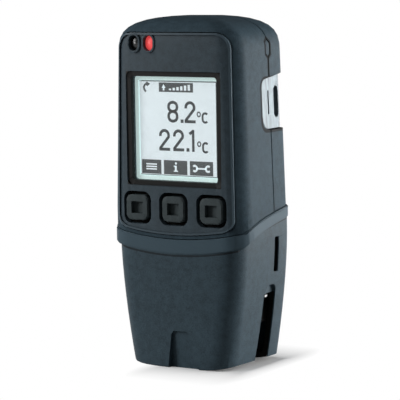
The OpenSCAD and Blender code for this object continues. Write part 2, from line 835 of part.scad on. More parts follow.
module cell(s) {
    color([0.55, 0.58, 0.62]) translate([s * cell_x, cell_y, bay_z - s * seat])
        rotate([s > 0 ? 0 : 180, 0, 0]) translate([0, 0, -cell_l / 2]) {
        cylinder(d = cell_d, h = cell_l - nub_h, $fn = 48);
        translate([0, 0, cell_l - nub_h - seat]) cylinder(r = nub_r, h = nub_h + seat, $fn = 32);
    }
}
module cell_left() { cell(-1); }
module cell_right() { cell(1); }

module contact_springs() {
    h = (tray_room - cell_l) / 2;
    color([0.80, 0.80, 0.76]) for (s = [-1, 1])
        translate([s * cell_x, cell_y, bay_z - s * (tray_room / 2 - seat)])
            rotate([s > 0 ? 0 : 180, 0, 0]) {
            cylinder(r = cell_d * spring_share, h = h / 2, $fn = 32);
            cylinder(r = cell_d * spring_share / 2, h = h - fit * 2, $fn = 32);
        }
}

module contact_plates() {
    color([0.80, 0.80, 0.76]) for (s = [-1, 1])
        translate([s * cell_x, cell_y, bay_z + s * (tray_room / 2 - seat - plate_t / 2)])
            cube([cell_d * plate_share, cell_d * plate_share, plate_t], center = true);
}

module battery_door() {
    y0 = hd - door_t;
    color([0.21, 0.23, 0.24]) difference() {
        union() {
            translate([0, 0, door_z]) rotate([-90, 0, 0]) translate([0, 0, y0])
                linear_extrude(door_t) rounded(door_w, door_h, door_r - door_gap);
            for (s = [-1, 1]) translate([s * bay_w / 4 - tongue_w / 2, y0, door_foot + door_h
                - door_r]) cube([tongue_w, tongue_t, door_r + tongue_l]);
        }
        for (s = [-1, 1]) translate([s * door_screw_x, 0, door_foot + door_screw_up])
            rotate([-90, 0, 0]) {
                cylinder(r = door_screw_r + fit, h = far, $fn = 32);
                translate([0, 0, hd - door_t / 2 - seat]) cylinder(r = door_head_r + fit, h = far, $fn = 32);
            }
        translate([-label_w / 2, hd - label_t, door_z - label_h / 2])
            cube([label_w, far, label_h]);
        for (z = [-1:1]) translate([0, hd, door_foot + door_h - rib_drop + z * rib_pitch])
            rotate([0, 90, 0]) cylinder(r = rib_r, h = door_w / 3, center = true, $fn = 24);
    }
}

module door_seal() {
    color([0.05, 0.05, 0.05]) translate([0, 0, bay_z]) rotate([-90, 0, 0])
        translate([0, 0, hd - door_t - seal_t + seat / 2]) linear_extrude(seal_t - seat)
        difference() {
            rounded(bay_w + (seal_edge + seal_w) * 2, bay_h + (seal_edge + seal_w) * 2, seal_w * 1.5);
            rounded(bay_w + seal_edge * 2, bay_h + seal_edge * 2, seal_w);
        }
}

// cross slot in a screw head of radius r whose face lies at height z
module cross_cut(z, r) {
    for (a = [0, 90]) rotate(a) translate([0, 0, z]) cube([r * 1.3, cross_w, cross_w * 2], center = true);
}

module door_screws() {
    color([0.70, 0.71, 0.73]) for (s = [-1, 1])
        translate([s * door_screw_x, 0, door_foot + door_screw_up]) rotate([-90, 0, 0])
        difference() {
            union() {
                translate([0, 0, hd - door_t - seal_t - sill_t]) cylinder(r = door_screw_r - seat,
                    h = sill_t + seal_t + door_t / 2 + seat, $fn = 32);
                translate([0, 0, hd - door_t / 2]) cylinder(r = door_head_r, h = door_head_t, $fn = 32);
            }
            cross_cut(hd, door_head_r);
        }
}

module rear_label() {
    color([0.72, 0.73, 0.74]) translate([-label_w / 2 + fit, hd - label_t + seat / 2,
        door_z - label_h / 2 + fit]) cube([label_w - fit * 2, label_t * 0.7, label_h - fit * 2]);
}

module case_screws() {
    color([0.70, 0.71, 0.73]) screw_places() difference() {
        union() {
            translate([0, 0, -screw_r * 5]) cylinder(r = screw_r - seat,
                h = hd - screw_deep - screw_head_t + screw_r * 5 + seat * 2, $fn = 32);
            translate([0, 0, hd - screw_deep - screw_head_t + seat])
                cylinder(r = screw_head_r, h = screw_head_t, $fn = 32);
        }
        cross_cut(hd - screw_deep, screw_head_r);
    }
}

module board_screws() {
    color([0.70, 0.71, 0.73]) post_places() {
        translate([0, 0, board_y - board_t]) cylinder(r = screw_r / 2 - seat, h = board_t * 2 + fit,
            $fn = 32);
        translate([0, 0, board_y + board_t + seat]) cylinder(r = screw_r, h = board_t / 2, $fn = 32);
    }
}

// Connector block and cap

module sensor_side() { translate([0, sensor_y, sensor_z]) rotate([0, 90, 0]) children(); }

// the block's side surface at the sensor
function block_side(z) = let (o = cap_outline(z, block_in), a = o[front_n + corner_n],
    b = o[front_n + corner_n + 1]) mix(a[0], b[0], (sensor_y - a[1]) / (b[1] - a[1]));

module connector_block() {
    channel_x = block_side(sensor_z) - channel_deep;
    color([0.07, 0.07, 0.08]) difference() {
        union() {
            intersection() {
                cap_form(block_in, block_z);
                below_seam(seam_z, seam_rise, seam_gap - seat);
            }
            difference() {
                intersection() {
                    housing(lip_in, front_wall + fit);
                    below_seam(seam_z, seam_rise, seam_gap + lip_h);
                }
                below_seam(seam_z, seam_rise, seam_gap - seat * 4);
            }
        }
        intersection() {
            cap_form(block_in + block_wall, block_z + block_floor, block_in + block_wall + hollow_r);
            rear_half(-hd + hollow_in);
        }
        // room for the frame of the battery door
        translate([-door_w / 2 - wall - fit * 4, hd - door_t - seal_t - sill_t - fit * 4,
            seam_top + seam_gap]) cube([door_w + wall * 2 + fit * 8, far, far]);
        // room for the keys
        translate([-far, -far, key_z - key_open / 2 - mat_up - fit])
            cube([far * 2, far + flange_y + flange_t + key_travel + fit * 3, far]);
        // air channels towards the slots
        both_sides() translate([channel_x, sensor_y - channel_w / 2, block_z - over])
            cube([far, channel_w, sensor_z + channel_w / 3 - block_z + over]);
        sensor_side() cylinder(r = sensor_r + seat, h = far, $fn = 32);
        translate([usb_x, 0, block_z]) cube([usb_w + fit, usb_t + fit, far], center = true);
        translate([socket_x, 0, block_z - over]) cylinder(r = socket_r + seat, h = far, $fn = 48);
        for (s = [-1, 1]) translate([0, s * (hd - block_in), grip_z])
            cube([grip_w, grip_t * 2, grip_h], center = true);
    }
}

module usb_plug() {
    color([0.80, 0.81, 0.83]) translate([usb_x, 0, block_z - usb_out]) difference() {
        translate([-usb_w / 2, -usb_t / 2, 0]) cube([usb_w, usb_t, usb_out + usb_in]);
        translate([-usb_w / 2 + usb_wall, -usb_t / 2 + usb_wall, -over])
            cube([usb_w - usb_wall * 2, usb_t - usb_wall * 2, usb_out + usb_in]);
        for (x = [-1, 1], y = [-1, 1])
            translate([x * usb_w * usb_hole_share, y * usb_t / 2, usb_out * usb_hole_up_share])
            cube([usb_hole_w, usb_wall * 3, usb_hole_h], center = true);
    }
}

module usb_tongue() {
    color([0.92, 0.92, 0.90]) translate([usb_x, 0, block_z - usb_out + usb_tongue_in])
        translate([-usb_w / 2 + usb_wall + seat, -usb_t / 2 + usb_wall + seat, 0])
        cube([usb_w - usb_wall * 2 - seat * 2, usb_tongue_t, usb_out + usb_in - over * 2]);
}

module probe_socket() {
    color([0.75, 0.68, 0.42]) translate([socket_x, 0, block_z - socket_out]) difference() {
        union() {
            cylinder(r = socket_r, h = socket_l, $fn = 48);
            cylinder(r = socket_r * socket_rim_share, h = socket_out - seat, $fn = 48);
        }
        translate([0, 0, -over]) cylinder(r = socket_hole_r, h = socket_l, $fn = 48);
    }
}

module air_sensor() {
    tip = block_side(sensor_z);
    color([0.85, 0.86, 0.88]) translate([tip - sensor_l, 0, 0]) sensor_side() {
        cylinder(r = sensor_r, h = sensor_l - sensor_r, $fn = 32);
        translate([0, 0, sensor_l - sensor_r]) sphere(sensor_r, $fn = 32);
    }
}

module cap_grips() {
    color([0.30, 0.30, 0.31]) for (s = [-1, 1])
        translate([0, s * (hd - block_in - grip_t / 2 + (cap_gap - grip_clear) / 2 - seat), grip_z])
            cube([grip_w - fit, grip_t + cap_gap - grip_clear - fit, grip_h - fit], center = true);
}

// finger notch in the front view, grown by out
module finger_notch(out = 0) {
    w = finger_w / 2 + out;
    h = notch_up + out;
    r = finger_r + out;
    translate([finger_x, 0]) polygon(concat(
        [[-w - finger_lean, -over], [w + finger_lean_right, -over]],
        [[w + finger_lean_right / 3, h / 4]],
        [for (i = [0:4]) let (a = 22.5 * i) [w - r + r * cos(a), h - r + r * sin(a)]],
        [for (i = [0:4]) let (a = 90 + 22.5 * i) [-w + r + r * cos(a), h - r + r * sin(a)]]));
}

// wedge that makes the finger notch deeper towards the foot, set back by back
module finger_wedge(back = 0) {
    y0 = -hd - cap_front_out;
    side_plate(-far, far) polygon([[y0 - over, -over], [y0 + notch_deep + back, -over],
        [y0 + notch_deep + back, 0], [y0 + finger_top_deep + back, notch_up],
        [y0 + finger_top_deep + back, notch_up + over * 2], [y0 - over, notch_up + over * 2]]);
}

// half width of the cap's side at height z, in the middle of its depth
function cap_mid(z) = hw - cap_front_in / 2 - (cap_front_taper + cap_rear_taper) / 4 * cap_drop(z);

// underside of the foot in the front view: flat in the middle, rising to the sides
module foot_curve() {
    w = cap_mid(0);
    polygon(concat([[-w * 2, -over], [w * 2, -over], [w * 2, foot_rise * 2]],
        [for (i = [seam_n:-1:-seam_n]) let (x = w * 1.2 * i / seam_n,
            t = max(0, (abs(x) / w - rest_share) / (1 - rest_share)))
            [x, t == 0 ? -over / 2 : foot_rise * pow(t, foot_power_share)]],
        [[-w * 2, foot_rise * 2]]));
}

module cap() {
    recess_x = cap_mid(slot_top) - recess_in;
    color([0.21, 0.23, 0.24]) difference() {
        union() {
            cap_form(0);
            difference() {
                intersection() {
                    collar_form(collar_out, collar_out_rear);
                    below_seam(seam_z, seam_rise, -collar_edge);
                }
                below_seam(seam_z - collar_h, collar_rise, collar_edge);
            }
            difference() {
                collar_form(collar_out - collar_edge, collar_out_rear - collar_edge);
                below_seam(seam_z - collar_h, collar_rise);
            }
        }
        difference() {
            translate([-far, -far, 0]) cube([far * 2, far * 2, far * 2]);
            below_seam(seam_z, seam_rise);
        }
        difference() {
            intersection() {
                cap_form(cap_wall, cap_floor);
                translate([-far, -far, cap_floor]) cube([far * 2, far * 2, far * 2]);
            }
            intersection() {
                front_plate(-hd - over, far) finger_notch(cap_wall / 2);
                finger_wedge(finger_back);
                translate([-far, -far, 0]) cube([far * 2, far * 2, block_z - cap_gap]);
            }
        }
        // long slots, open at the foot, with a shallow recess over their top
        both_sides() {
            side_plate(hw / 2, hw + over) translate([slot_y, 0]) polygon([
                [-slot_w / 2 - slot_lean, -over], [slot_w / 2, -over],
                [slot_w / 2, slot_top], [-slot_w / 2, slot_top]]);
            side_plate(recess_x, hw + over)
                translate([slot_y + slot_w / 2 - recess_w / 2, slot_top])
                rounded(recess_w, recess_up * 2, recess_r);
            side_plate(hw / 2, hw + over)
                translate([slot_y + latch_back, seam_z - latch_down - latch_h / 2])
                rounded(latch_w, latch_h, latch_r);
        }
        intersection() {
            front_plate(-hd - cap_front_out - over, far) finger_notch();
            finger_wedge();
        }
        front_plate(-far, far) foot_curve();
    }
}

front_shell();
rear_shell();
seam_ring();
front_panel();
window_pane();
display_frame();
display_panel();
backlight();
circuit_board();
board_chips();
key_left();
key_middle();
key_right();
key_mat();
key_switches();
lamp_left();
lamp_right();
led_chips();
sounder();
seam_plug();
strap_bracket_right();
strap_bracket_left();
battery_tray();
cell_left();
cell_right();
contact_springs();
contact_plates();
battery_door();
door_seal();
door_screws();
rear_label();
case_screws();
board_screws();
connector_block();
usb_plug();
usb_tongue();
probe_socket();
air_sensor();
cap_grips();
cap();
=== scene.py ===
# %% [markdown]
# # A hand-held temperature data logger, dressed for the camera
# The measured model is already built: every shell, key, lens and screw is in its place.
# This lesson gives each piece the surface of the real thing, adds what is too fine for
# the measured model, such as the figures on the display, and sets up a plain studio.

# %% Load the measured model
import bpy
import bmesh
import math
from mathutils import Matrix, Vector


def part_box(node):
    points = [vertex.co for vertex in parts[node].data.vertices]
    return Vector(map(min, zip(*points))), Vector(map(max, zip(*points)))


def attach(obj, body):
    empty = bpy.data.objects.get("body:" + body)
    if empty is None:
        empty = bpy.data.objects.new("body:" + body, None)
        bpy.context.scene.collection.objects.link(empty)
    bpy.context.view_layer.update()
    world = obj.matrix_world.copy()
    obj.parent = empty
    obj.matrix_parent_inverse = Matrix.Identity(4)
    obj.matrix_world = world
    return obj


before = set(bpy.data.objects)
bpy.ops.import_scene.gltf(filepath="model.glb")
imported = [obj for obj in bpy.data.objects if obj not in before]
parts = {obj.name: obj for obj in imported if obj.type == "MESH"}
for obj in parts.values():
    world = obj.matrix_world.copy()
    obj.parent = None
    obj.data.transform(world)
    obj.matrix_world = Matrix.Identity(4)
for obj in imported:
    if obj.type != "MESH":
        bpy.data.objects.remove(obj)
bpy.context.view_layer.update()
MM = 0.001

# %% [markdown]
# ## The camera
# The photograph was taken from the front, a little to the right and slightly above, with
# a long lens. The numbers below were fitted to edges whose place on the logger is known.
# Azimuth and elevation say where the camera stands as seen from the target, and the small
# roll tilts the picture the way the photographer held the camera.

# %% Stand the camera where the photographer stood
TARGET = Vector((0.11, 0.0, 59.5)) * MM
AZIMUTH, ELEVATION, ROLL = (math.radians(a) for a in (32.0, 6.67, -0.90))
DISTANCE, LENS = 0.750, 183.93


def camera_axes(azimuth, elevation, roll):
    """Right, up and backward directions of a camera that looks at the logger."""
    back = Vector((math.sin(azimuth) * math.cos(elevation),
                   -math.cos(azimuth) * math.cos(elevation), math.sin(elevation)))
    level = Vector((math.cos(azimuth), math.sin(azimuth), 0))
    upright = back.cross(level)
    right = math.cos(roll) * level + math.sin(roll) * upright
    up = -math.sin(roll) * level + math.cos(roll) * upright
    return right, up, back


right, up, back = camera_axes(AZIMUTH, ELEVATION, ROLL)
lens = bpy.data.cameras.new("studio_camera")
lens.lens, lens.sensor_width, lens.clip_end = LENS, 36, 100
camera = bpy.data.objects.new("studio_camera", lens)
spot = TARGET + back * DISTANCE
camera.matrix_world = Matrix([[right[i], up[i], back[i], spot[i]] for i in range(3)]
                             + [[0, 0, 0, 1]])
bpy.context.scene.collection.objects.link(camera)
bpy.context.scene.camera = camera
print("camera at mm", [round(v / MM) for v in spot])

# %% [markdown]
# ## Writing shaders as sums
# A surface that varies is a sum of patterns, so it reads best written as a sum. The class
# `Signal` wraps one output of a node, and its operators add Math nodes, so that a line
# such as `fine + patchy * 0.3` can be written as it stands.

# %% A signal, one output of a node
class Signal:
    """One output in a node tree; sums and products of signals add Math nodes."""

    def __init__(self, owner, socket):
        self.owner, self.socket = owner, socket

    def maths(self, operation, first, second=None):
        values = {0: first} if second is None else {0: first, 1: second}
        return self.owner.add("ShaderNodeMath", {"operation": operation}, values)

    def __add__(self, other):
        return self.maths("ADD", self, other)

    def __radd__(self, other):
        return self.maths("ADD", other, self)

    def __sub__(self, other):
        return self.maths("SUBTRACT", self, other)

    def __rsub__(self, other):
        return self.maths("SUBTRACT", other, self)

    def __mul__(self, other):
        return self.maths("MULTIPLY", self, other)

    def __rmul__(self, other):
        return self.maths("MULTIPLY", other, self)

    def __truediv__(self, other):
        return self.maths("DIVIDE", self, other)

    def __rtruediv__(self, other):
        return self.maths("DIVIDE", other, self)

    def __pow__(self, other):
        return self.maths("POWER", self, other)

    def __gt__(self, other):
        return self.maths("GREATER_THAN", self, other)

    def size(self):
        """The same signal without its sign."""
        return self.maths("ABSOLUTE", self)

    def largest(self, other):
        return self.maths("MAXIMUM", self, other)

    def held(self):
        """The same signal, held between 0 and 1."""
        return self.owner.add("ShaderNodeClamp", {}, {"Value": self})

    def above(self, level, fade):
        """0 up to the level, 1 from the level plus the fade on."""
        return ((self - level) / fade).held()

    def below(self, level, fade):
        """0 from the level on, 1 down from the level minus the fade."""
        return ((level - self) / fade).held()

    def within(self, reach, fade):
        """1 round zero, 0 where the signal's size passes the reach."""
        return self.size().below(reach, fade)

    def out(self, name):
        """Another output of the same node."""
        return Signal(self.owner, self.socket.node.outputs[name])


print("a signal also has:", [name for name in vars(Signal) if name[0] != "_"])

# %% [markdown]
# `Nodes` is a node tree to which one method adds every kind of node. `Finish` makes a
# material of it: what is the same all over is set on the shader's own sockets, and only
# what varies is wired up. Colours are blended with Mix nodes, because a Math node has no
# colour. Noise is told by its spots per metre, so every grain has a real size.

# %% A tree of nodes and a finish
class Nodes:
    """A node tree of a material or of the world."""

    def __init__(self, tree):
        self.tree = tree

    def add(self, kind, settings, values):
        """Add a node with its settings and the values or links of its sockets."""
        node = self.tree.nodes.new(kind)
        for name, value in settings.items():
            setattr(node, name, value)
        for name, value in values.items():
            self.feed(node.inputs[name], value)
        return Signal(self, next(o for o in node.outputs if o.enabled))

    def feed(self, socket, value):
        """Link a signal to a socket, or set the socket's own value."""
        if isinstance(value, Signal):
            self.tree.links.new(value.socket, socket)
        elif isinstance(value, tuple) and len(value) == 3 and socket.type == "RGBA":
            socket.default_value = (*value, 1)
        else:
            socket.default_value = value


class Finish(Nodes):
    """A procedural material built round one Principled shader."""

    def __init__(self, name, constants):
        self.material = bpy.data.materials.new(name)
        self.material.use_nodes = True
        super().__init__(self.material.node_tree)
        self.shader = self.tree.nodes["Principled BSDF"]
        for socket, value in constants.items():
            self.shader.inputs[socket].default_value = value

    def wire(self, **signals):
        """Feed the shader's sockets, named with _ for a space."""
        for name, value in signals.items():
            self.feed(self.shader.inputs[name.replace("_", " ")], value)
        return self

    def place(self):
        """Points of the piece itself, so that a pattern moves with it."""
        return self.add("ShaderNodeTexCoord", {}, {}).out("Object")

    def axes(self):
        """X, Y and Z of a point of the piece, in metres."""
        parted = self.add("ShaderNodeSeparateXYZ", {}, {"Vector": self.place()})
        return [parted.out(name) for name in "XYZ"]

    def noise(self, per_metre, detail, stretch=(1, 1, 1)):
        where = self.add("ShaderNodeMapping", {}, {"Vector": self.place(), "Scale": stretch})
        return self.add("ShaderNodeTexNoise", {}, {"Vector": where, "Scale": per_metre,
                                                   "Detail": detail})

    def blend(self, share, first, second):
        """A colour between two: the first at share 0, the second at share 1."""
        return self.add("ShaderNodeMix", {"data_type": "RGBA"}, {0: share, 6: first, 7: second})

    def bump(self, height, strength, depth):
        return self.add("ShaderNodeBump", {}, {"Height": height, "Strength": strength,
                                               "Distance": depth})


def shade(colour, times):
    """A lighter or darker tone of a colour."""
    return tuple(min(1.0, c * times) for c in colour)


def diagonal(across, up):
    """Length of the diagonal of two signals."""
    return (across * across + up * up) ** 0.5


def middle(name):
    """Middle and half size of a measured part's box, in metres."""
    low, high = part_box(name)
    return (low + high) / 2, (high - low) / 2


print("middle of the cap at mm", [round(v / MM, 1) for v in middle("cap")[0]])

# %% [markdown]
# ## Moulded plastic
# The housing is a charcoal plastic with a faint blue cast. Its mould was eroded by sparks,
# which leaves a grain of about a third of a millimetre, and hands have polished it a
# little unevenly. So there are three layers: a fine grain that also lifts the surface, a
# patchy one that also changes the gloss, and a broad one. Together they shift the tone. A
# dark line of painted shade runs along the strap notches, the seam plug and the parting line.
# Such a line is a mask between 0 and 1. It is built from steps in x, y and z, each of which
# fades over a short way: the product of two masks is where both hold, and the larger of
# two is where either does.

# %% The recipe for moulded pieces
DEEP_SHADE = (0.002, 0.002, 0.002)
DARKEST, PALEST = 0.60, 1.40
GRAIN, PATCHES, CLOUDS = 2600, 420, 34


def moulded(name, colour, gloss=0.55, grain=GRAIN, lift=0.5, mirror=0.18, dark=None,
            pale=None, times=1.35):
    """A moulded plastic or rubber; dark is a mask of painted shade, pale one of painted light.
    """
    finish = Finish(name, {"Specular IOR Level": mirror})
    fine, patchy = finish.noise(grain, 3), finish.noise(PATCHES, 4)
    broad = finish.noise(CLOUDS, 3)
    tone = (broad * 0.5 + patchy + fine * 1.1 - 0.8).held()
    base = finish.blend(tone, shade(colour, DARKEST), shade(colour, PALEST))
    if pale:
        base = finish.blend(pale(finish), base, shade(colour, times))
    if dark:
        base = finish.blend(dark(finish), base, DEEP_SHADE)
    return finish.wire(
        Base_Color=base,
        Roughness=gloss + (patchy - 0.5) * 0.14 + (fine - 0.5) * 0.12,
        Normal=finish.bump(fine + patchy * 0.3, lift, 0.06 * MM)).material


print("spots per mm:", [round(per_metre * MM, 2) for per_metre in (GRAIN, PATCHES, CLOUDS)])

# %% Lines of painted shade on the housing's sides
ring_at = middle("seam_ring")[0]
plug_at, plug_half = middle("seam_plug")
NOTCH_Y, NOTCH_Z = 3.0 * MM, 95.0 * MM
NOTCH_REACH, NOTCH_ROUND = 6.1 * MM, 3.4 * MM
PLUG_GAP, PLUG_SLOPE, PLUG_LEAN = 0.3 * MM, 0.85, 0.76
UPPER_FROM, UPPER_TO, UPPER_FADE = 100 * MM, 119 * MM, 2 * MM
NOTCH_LINE, PLUG_LINE = 0.8 * MM, 0.75 * MM
SEAM_LINE, SEAM_WIDER, SEAM_FAINT = 0.5 * MM, 0.3 * MM, 0.4
SIDE_FROM, LINE_FADE, LINE_SHARE = 20 * MM, 0.3 * MM, 0.9


def shaded_joints(finish):
    """Painted shade in lines along the strap notches, the parting line and the seam plug."""
    x, y, z = finish.axes()
    ahead = (NOTCH_Y - y).largest(0.0)
    under = ((z - NOTCH_Z).size() - NOTCH_REACH).largest(0.0)
    notch_line = (diagonal(ahead, under) - NOTCH_ROUND).within(NOTCH_LINE, LINE_FADE)
    across, up = (y - ring_at.y).size(), (z - plug_at.z).size()
    sloping = (across * PLUG_SLOPE + up - plug_half.z - PLUG_GAP) * PLUG_LEAN
    plug = (across - plug_half.y - PLUG_GAP).largest(sloping)
    plug_line = plug.within(PLUG_LINE, LINE_FADE)
    upper = (z > UPPER_FROM) * z.below(UPPER_TO, UPPER_FADE)
    seam_line = ((upper * SEAM_WIDER + SEAM_LINE - across) / LINE_FADE).held()
    seam_line = seam_line * (upper * (1 - SEAM_FAINT) + SEAM_FAINT)
    lines = notch_line.largest(plug_line).largest(seam_line * (plug > 0.0))
    return (x.size() > SIDE_FROM) * lines * LINE_SHARE


print("seam plug at mm", [round(v / MM, 1) for v in plug_at])

# %% Charcoal plastic and rubber
CHARCOAL = (0.049, 0.078, 0.099)
# The dark mask paints shade into the joint lines.
housing_plastic = moulded("charcoal_housing_plastic", CHARCOAL, mirror=0.05,
                          dark=shaded_joints)
key_rubber = moulded("matt_key_rubber", (0.055, 0.072, 0.077), 0.60, 3400, 0.35)
black_rubber = moulded("black_rubber", (0.003, 0.003, 0.003), 0.8, 3000, 0.3, 0.08)
black_plastic = moulded("black_inner_plastic", (0.004, 0.004, 0.004), 0.6, 2400, 0.4, 0.08)
print("plastics:", housing_plastic.name, key_rubber.name)

# %% [markdown]
# Light hardly reaches the inside of the cap, and its slots look black right up to their
# edge. The cap's finish therefore paints that shade on its inside: a point counts as inner
# when it lies more than 0.4 mm below the side, whose half width shrinks towards the foot
# along the same curve as in the measured model. The shallow recess over the long slot
# stays grey. The collar is painted a little paler, as painted light, and a thin line of
# painted shade runs along its lower edge. The cap's upper edge is lowest in front and
# rises to the back, so heights are taken from its front.

# %% The cap's plastic, its painted shade inside and its painted light on the collar
shell_low, shell_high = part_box("front_shell")
CAP_RISE, CORNER_IN, FOOT_CURVE = 10.6 * MM, 1.5 * MM, 1.6
FRONT_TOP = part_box("cap")[1].z - CAP_RISE
REAR_HALF, FRONT_HALF = shell_high.x, shell_high.x - CORNER_IN
FRONT_DROP, REAR_DROP = 5.6 * MM, 5.3 * MM
WALL_Y, WALL_DEPTH = -12 * MM, 26 * MM
INNER_FROM, INNER_FLOOR, INNER_Y, INNER_REACH = 0.4 * MM, 0.6 * MM, 2 * MM, 11 * MM
RECESS_FROM, RECESS_HIGH, RECESS_DEPTH = FRONT_TOP - 21 * MM, 5.9 * MM, 2 * MM
COLLAR_FRONT = shell_low.y + 3 * MM
COLLAR_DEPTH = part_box("rear_shell")[1].y - COLLAR_FRONT
COLLAR_LOW, COLLAR_RISE = FRONT_TOP - 5.6 * MM, 12 * MM
COLLAR_CURVE, COLLAR_BEND = 0.42, 4.1
COLLAR_LINE, COLLAR_LINE_SHARE, COLLAR_FADE = 0.45 * MM, 0.7, 1.2 * MM
HARD_EDGE, SOFT_EDGE = 0.1 * MM, 0.2 * MM


def inside_cap(finish):
    """Painted shade on the cap's inner faces and in a thin line under its collar."""
    x, y, z = finish.axes()
    drop = (1.0 - z / FRONT_TOP).held() ** FOOT_CURVE
    front, rear = FRONT_HALF - drop * FRONT_DROP, REAR_HALF - drop * REAR_DROP
    side = front + (rear - front) * y.above(WALL_Y, WALL_DEPTH)
    recess = (z.above(RECESS_FROM, HARD_EDGE)
              * z.below(RECESS_FROM + RECESS_HIGH, HARD_EDGE))
    under = (side - x.size() - recess * RECESS_DEPTH).above(INNER_FROM, SOFT_EDGE)
    between = (y - INNER_Y).within(INNER_REACH, SOFT_EDGE)
    inner = under * between * z.above(INNER_FLOOR, SOFT_EDGE)
    line = (z - collar_edge(finish) + SOFT_EDGE).within(COLLAR_LINE, SOFT_EDGE)
    return inner.largest(line * COLLAR_LINE_SHARE)


def collar_edge(finish):
    """Height of the collar's lower edge at a point, in metres."""
    x, y = finish.axes()[:2]
    back = y.above(COLLAR_FRONT, COLLAR_DEPTH) ** COLLAR_CURVE
    return (back * COLLAR_RISE).largest(x * x * COLLAR_BEND) + COLLAR_LOW


def painted_light_collar(finish):
    """Painted light on the collar, from its lower edge up."""
    return (finish.axes()[2] - collar_edge(finish)).above(0.0, COLLAR_FADE)


# The dark mask paints shade inside the cap and under its collar; the pale mask paints light on
# the collar.
cap_plastic = moulded("charcoal_cap_plastic", (0.050, 0.080, 0.101), 0.55, 2400,
                      mirror=0.15, dark=inside_cap, pale=painted_light_collar)
print("cap:", cap_plastic.name, "front top at mm", round(FRONT_TOP / MM, 1))

# %% [markdown]
# The panel round the display is the same plastic. Where the window sinks through it, its
# inner walls lie in deep shade, so they get the same painted shade as the cap's inside.
# The raised lip along its edge gets a painted highlight, stronger at the sides than at the top.

# %% The panel's plastic
pane_at, pane_half = middle("window_pane")
panel_low, panel_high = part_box("front_panel")
BORDER, BORDER_Y = 1.9 * MM, -17.9 * MM
GROOVE, TOP_ROUND, LOW_ROUND = 0.3 * MM, 6 * MM, 4 * MM
PANEL_HALF, PANEL_FOOT, PANEL_TAPER = panel_high.x + GROOVE, 53 * MM, 0.01754
TOP_FROM = panel_high.z + GROOVE - TOP_ROUND
LOW_FROM, LOW_BEND = panel_low.z - GROOVE + LOW_ROUND, 4.02
LIP, LIP_FADE, TOP_SHARE = 1.05 * MM, 0.15 * MM, 0.25


def deep_window(finish):
    """Painted shade on the walls and floor of the window's sunk border."""
    x, y, z = finish.axes()
    across = x.within(pane_half.x + BORDER, HARD_EDGE)
    upright = (z - pane_at.z).within(pane_half.z + BORDER, HARD_EDGE)
    return across * upright * y.above(BORDER_Y, HARD_EDGE)


def painted_highlight_lip(finish):
    """Painted highlight on the last millimetre before the panel's rounded outline."""
    x, _, z = finish.axes()
    half = PANEL_HALF - (z - PANEL_FOOT) * PANEL_TAPER
    turn = (x.size() - half + TOP_ROUND).largest(0.0)
    top = diagonal(turn, (z - TOP_FROM).largest(0.0)) - TOP_ROUND
    low_turn = (x.size() - PANEL_HALF + LOW_ROUND).largest(0.0)
    low = diagonal(low_turn, (x * x * LOW_BEND + LOW_FROM - z).largest(0.0)) - LOW_ROUND
    side_share = (turn / TOP_ROUND).held() * (1 - TOP_SHARE) + TOP_SHARE
    return top.largest(low).above(-LIP, LIP_FADE) * side_share


# The dark mask paints shade in the window's border; the pale mask paints a highlight on the
# lip.
panel_plastic = moulded("charcoal_panel_plastic", (0.051, 0.074, 0.091), 0.50, 3000,
                        dark=deep_window, pale=painted_highlight_lip, times=2.2)
print("panel:", panel_plastic.name)

# %% [markdown]
# ## Metals
# The strap brackets are bright metal, drawn through rollers that leave fine upright lines.
# Stretching a noise along one axis draws those lines. Screws, the plug's shell, contacts
# and the sensor's tip use the same recipe with their own tone.

# %% Brushed and plated metals
def drawn_metal(name, colour, rough=0.28, stretch=(1, 1, 0.04), lines=5200, metal=1.0,
                low=0.86, high=1.06):
    finish = Finish(name, {"Metallic": metal})
    streak, cloud = finish.noise(lines, 3, stretch), finish.noise(160, 3)
    return finish.wire(
        Base_Color=finish.blend((streak * 1.6 + cloud * 0.6 - 0.6).held(),
                                shade(colour, low), shade(colour, high)),
        Roughness=rough + (streak - 0.5) * 0.16 + (cloud - 0.5) * 0.12,
        Normal=finish.bump(streak, 0.25, 0.03 * MM)).material


bracket_metal = drawn_metal("bright_bracket_metal", (0.150, 0.180, 0.195), 0.54,
                            (1, 1, 0.12), lines=900, metal=0.5, low=0.42, high=1.50)
screw_steel = drawn_metal("plated_screw_steel", (0.62, 0.63, 0.65), 0.30, (1, 0.05, 1))
plug_shell = drawn_metal("plated_plug_shell", (0.72, 0.73, 0.75), 0.24)
contact_nickel = drawn_metal("contact_nickel", (0.76, 0.75, 0.70), 0.26)
gilt_socket = drawn_metal("gilt_socket", (0.78, 0.62, 0.30), 0.25)
sensor_steel = drawn_metal("polished_sensor_steel", (0.88, 0.89, 0.90), 0.14)
print("metals:", bracket_metal.name, screw_steel.name)

# %% [markdown]
# ## Glass, light and the small inner parts
# The display's pane is clear and nearly smooth. Behind it the pale frame and the
# display's own glass scatter the backlight, so both glow. The red lamp is lit and the
# other one is dark. Board, cells and rear plate seldom show, but still get a finish.

# %% Panes and lenses
def clear_pane(name, colour, alpha, rough=0.04):
    finish = Finish(name, {"IOR": 1.49})
    smear = finish.noise(90, 4)
    return finish.wire(Base_Color=finish.blend(smear, colour, shade(colour, 0.94)),
                       Roughness=rough + smear * 0.05,
                       Alpha=alpha + smear * 0.03).material


def glowing(name, colour, glow, rough=0.3, variation=0.06, per_metre=700):
    finish = Finish(name, {"Emission Strength": glow})
    cloud = finish.noise(per_metre, 3)
    tone = finish.blend(cloud, shade(colour, 1 - variation), shade(colour, 1 + variation))
    return finish.wire(Base_Color=tone, Emission_Color=tone,
                       Roughness=rough + (cloud - 0.5) * 0.1).material


